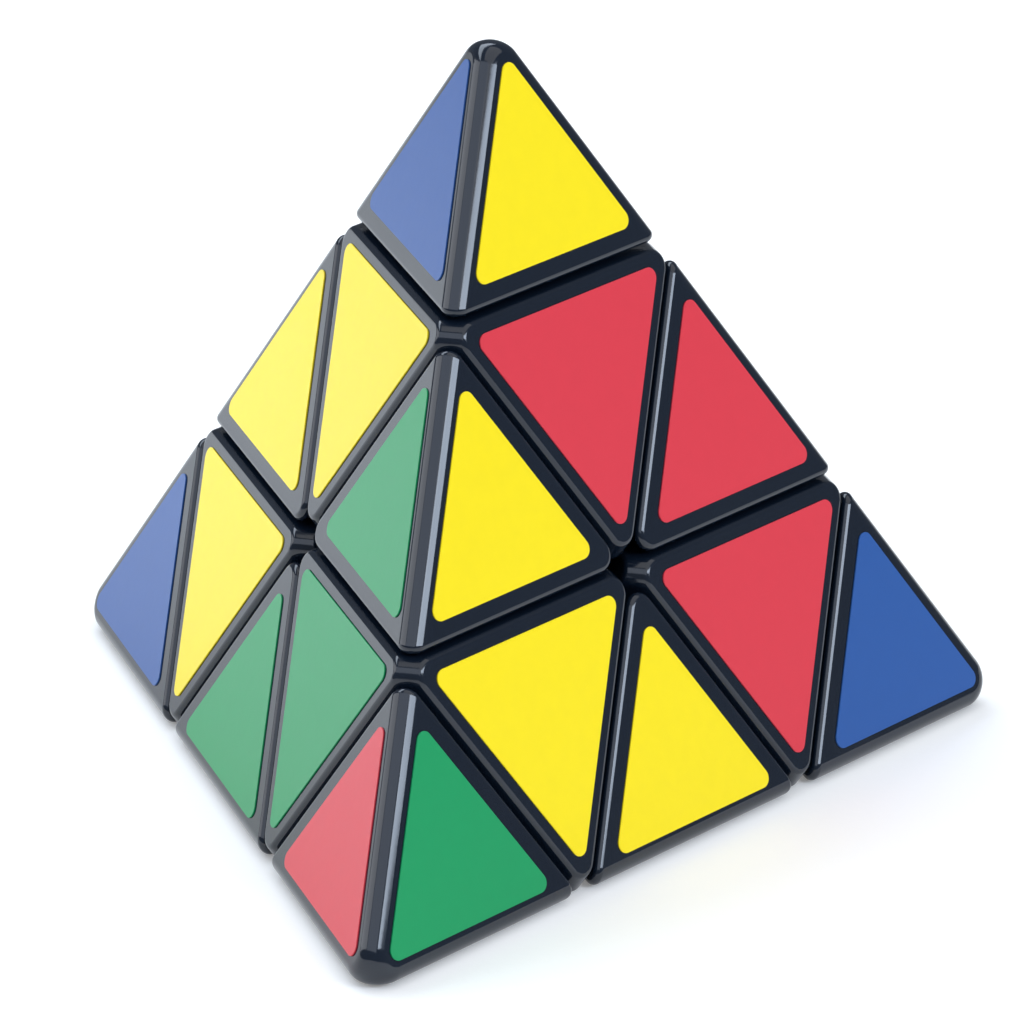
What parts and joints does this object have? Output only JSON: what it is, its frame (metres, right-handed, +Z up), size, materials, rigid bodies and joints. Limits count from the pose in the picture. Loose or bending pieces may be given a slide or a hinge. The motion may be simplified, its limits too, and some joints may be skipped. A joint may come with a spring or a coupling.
{
  "type": "pyramid twisty puzzle",
  "caption": "Tetrahedral twisty puzzle with turning corner layers and tips, black plastic pieces and coloured triangular stickers.",
  "frame": {"origin": "centre of the core, where the four turning axes meet; it is also the centroid of the whole puzzle", "axes": "+Z up through the top tip; -Y towards the front tip; -X towards the left tip and +X towards the right tip, which stand level behind the front one; the puzzle rests on its bottom face"},
  "size_m": [0.0938, 0.082, 0.0774],
  "materials": {
    "black_plastic": "glossy injection-moulded ABS, blue-black",
    "sticker_yellow": "satin vinyl film",
    "sticker_red": "satin vinyl film",
    "sticker_blue": "satin vinyl film",
    "sticker_green": "satin vinyl film",
    "screw_steel": "zinc-plated steel",
    "spring_steel": "drawn spring steel wire"
  },
  "bodies": {
    "core": {"core": "black_plastic", "screw_top": "screw_steel", "spring_top": "spring_steel", "screw_left": "screw_steel", "spring_left": "spring_steel", "screw_right": "screw_steel", "spring_right": "spring_steel", "screw_front": "screw_steel", "spring_front": "spring_steel"},
    "axial_top": {"axial_top": "black_plastic", "sticker_axial_top_right_face": "sticker_red", "sticker_axial_top_left_face": "sticker_yellow", "sticker_axial_top_back_face": "sticker_blue"},
    "axial_left": {"axial_left": "black_plastic", "sticker_axial_left_bottom_face": "sticker_green", "sticker_axial_left_left_face": "sticker_yellow", "sticker_axial_left_back_face": "sticker_blue"},
    "axial_right": {"axial_right": "black_plastic", "sticker_axial_right_bottom_face": "sticker_green", "sticker_axial_right_right_face": "sticker_red", "sticker_axial_right_back_face": "sticker_blue"},
    "axial_front": {"axial_front": "black_plastic", "sticker_axial_front_bottom_face": "sticker_red", "sticker_axial_front_right_face": "sticker_yellow", "sticker_axial_front_left_face": "sticker_green"},
    "tip_top": {"tip_top": "black_plastic", "sticker_tip_top_right_face": "sticker_yellow", "sticker_tip_top_left_face": "sticker_blue", "sticker_tip_top_back_face": "sticker_red"},
    "tip_left": {"tip_left": "black_plastic", "sticker_tip_left_bottom_face": "sticker_yellow", "sticker_tip_left_left_face": "sticker_blue", "sticker_tip_left_back_face": "sticker_green"},
    "tip_right": {"tip_right": "black_plastic", "sticker_tip_right_bottom_face": "sticker_red", "sticker_tip_right_right_face": "sticker_blue", "sticker_tip_right_back_face": "sticker_green"},
    "tip_front": {"tip_front": "black_plastic", "sticker_tip_front_bottom_face": "sticker_yellow", "sticker_tip_front_right_face": "sticker_green", "sticker_tip_front_left_face": "sticker_red"},
    "edge_top_left": {"edge_top_left": "black_plastic", "sticker_edge_top_left_left_face": "sticker_yellow", "sticker_edge_top_left_back_face": "sticker_blue"},
    "edge_top_right": {"edge_top_right": "black_plastic", "sticker_edge_top_right_right_face": "sticker_red", "sticker_edge_top_right_back_face": "sticker_blue"},
    "edge_top_front": {"edge_top_front": "black_plastic", "sticker_edge_top_front_right_face": "sticker_yellow", "sticker_edge_top_front_left_face": "sticker_green"},
    "edge_left_right": {"edge_left_right": "black_plastic", "sticker_edge_left_right_bottom_face": "sticker_green", "sticker_edge_left_right_back_face": "sticker_blue"},
    "edge_left_front": {"edge_left_front": "black_plastic", "sticker_edge_left_front_bottom_face": "sticker_red", "sticker_edge_left_front_left_face": "sticker_green"},
    "edge_right_front": {"edge_right_front": "black_plastic", "sticker_edge_right_front_bottom_face": "sticker_red", "sticker_edge_right_front_right_face": "sticker_yellow"}
  },
  "joints": [
    {"name": "layer_top_turn", "type": "hinge", "parent": "core", "child": "axial_top", "pos_m": [0, 0, 0], "axis": [0, 0, 1], "range_deg": [-120, 240]},
    {"name": "layer_left_turn", "type": "hinge", "parent": "core", "child": "axial_left", "pos_m": [0, 0, 0], "axis": [-0.8165, 0.4714, -0.3333], "range_deg": [-120, 240]},
    {"name": "layer_right_turn", "type": "hinge", "parent": "core", "child": "axial_right", "pos_m": [0, 0, 0], "axis": [0.8165, 0.4714, -0.3333], "range_deg": [-120, 240]},
    {"name": "layer_front_turn", "type": "hinge", "parent": "core", "child": "axial_front", "pos_m": [0, 0, 0], "axis": [0, -0.9428, -0.3333], "range_deg": [-120, 240]},
    {"name": "edge_top_left_turn", "type": "hinge", "parent": "axial_left", "child": "edge_top_left", "pos_m": [0, 0, 0], "axis": [0, 0, 1], "range_deg": [-120, 240]},
    {"name": "edge_top_right_turn", "type": "hinge", "parent": "axial_right", "child": "edge_top_right", "pos_m": [0, 0, 0], "axis": [0, 0, 1], "range_deg": [-120, 240]},
    {"name": "edge_top_front_turn", "type": "hinge", "parent": "axial_front", "child": "edge_top_front", "pos_m": [0, 0, 0], "axis": [0, 0, 1], "range_deg": [-120, 240]},
    {"name": "edge_left_right_turn", "type": "hinge", "parent": "axial_right", "child": "edge_left_right", "pos_m": [0, 0, 0], "axis": [-0.8165, 0.4714, -0.3333], "range_deg": [-120, 240]},
    {"name": "edge_left_front_turn", "type": "hinge", "parent": "axial_left", "child": "edge_left_front", "pos_m": [0, 0, 0], "axis": [0, -0.9428, -0.3333], "range_deg": [-120, 240]},
    {"name": "edge_right_front_turn", "type": "hinge", "parent": "axial_front", "child": "edge_right_front", "pos_m": [0, 0, 0], "axis": [0.8165, 0.4714, -0.3333], "range_deg": [-120, 240]},
    {"name": "tip_top_turn", "type": "hinge", "parent": "axial_top", "child": "tip_top", "pos_m": [0, 0, 0], "axis": [0, 0, 1], "continuous": true},
    {"name": "tip_left_turn", "type": "hinge", "parent": "axial_left", "child": "tip_left", "pos_m": [0, 0, 0], "axis": [-0.8165, 0.4714, -0.3333], "continuous": true},
    {"name": "tip_right_turn", "type": "hinge", "parent": "axial_right", "child": "tip_right", "pos_m": [0, 0, 0], "axis": [0.8165, 0.4714, -0.3333], "continuous": true},
    {"name": "tip_front_turn", "type": "hinge", "parent": "axial_front", "child": "tip_front", "pos_m": [0, 0, 0], "axis": [0, -0.9428, -0.3333], "continuous": true}
  ],
  "couplings": [
    {"joint": "edge_top_left_turn", "follows": "layer_top_turn", "ratio": 1},
    {"joint": "edge_top_right_turn", "follows": "layer_top_turn", "ratio": 1},
    {"joint": "edge_top_front_turn", "follows": "layer_top_turn", "ratio": 1},
    {"joint": "edge_left_right_turn", "follows": "layer_left_turn", "ratio": 1},
    {"joint": "edge_left_front_turn", "follows": "layer_front_turn", "ratio": 1},
    {"joint": "edge_right_front_turn", "follows": "layer_right_turn", "ratio": 1}
  ]
}
